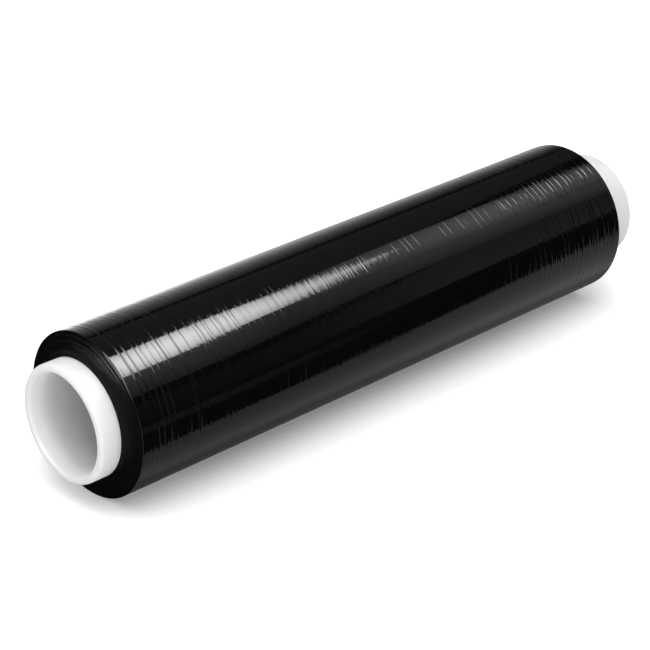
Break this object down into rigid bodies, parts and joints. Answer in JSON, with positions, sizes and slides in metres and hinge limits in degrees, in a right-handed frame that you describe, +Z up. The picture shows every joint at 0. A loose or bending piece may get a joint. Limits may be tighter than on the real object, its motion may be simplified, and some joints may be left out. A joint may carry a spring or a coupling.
{
  "type": "stretch wrap roll",
  "caption": "Roll of black stretch film wound on a white plastic core that stands out at both ends, for wrapping pallets and packs by hand or on a spindle.",
  "frame": {"origin": "middle of the ring that the core stands on, on the roll's axis", "axes": "+Z up along the roll's axis, from the longer free end of the core to the shorter one; X and Y are equal"},
  "size_m": [0.123, 0.123, 0.558],
  "materials": {
    "core_plastic": "satin white",
    "film": "gloss black"
  },
  "bodies": {
    "root": {"core_tube": "core_plastic", "film_winding": "film"}
  },
  "joints": []
}
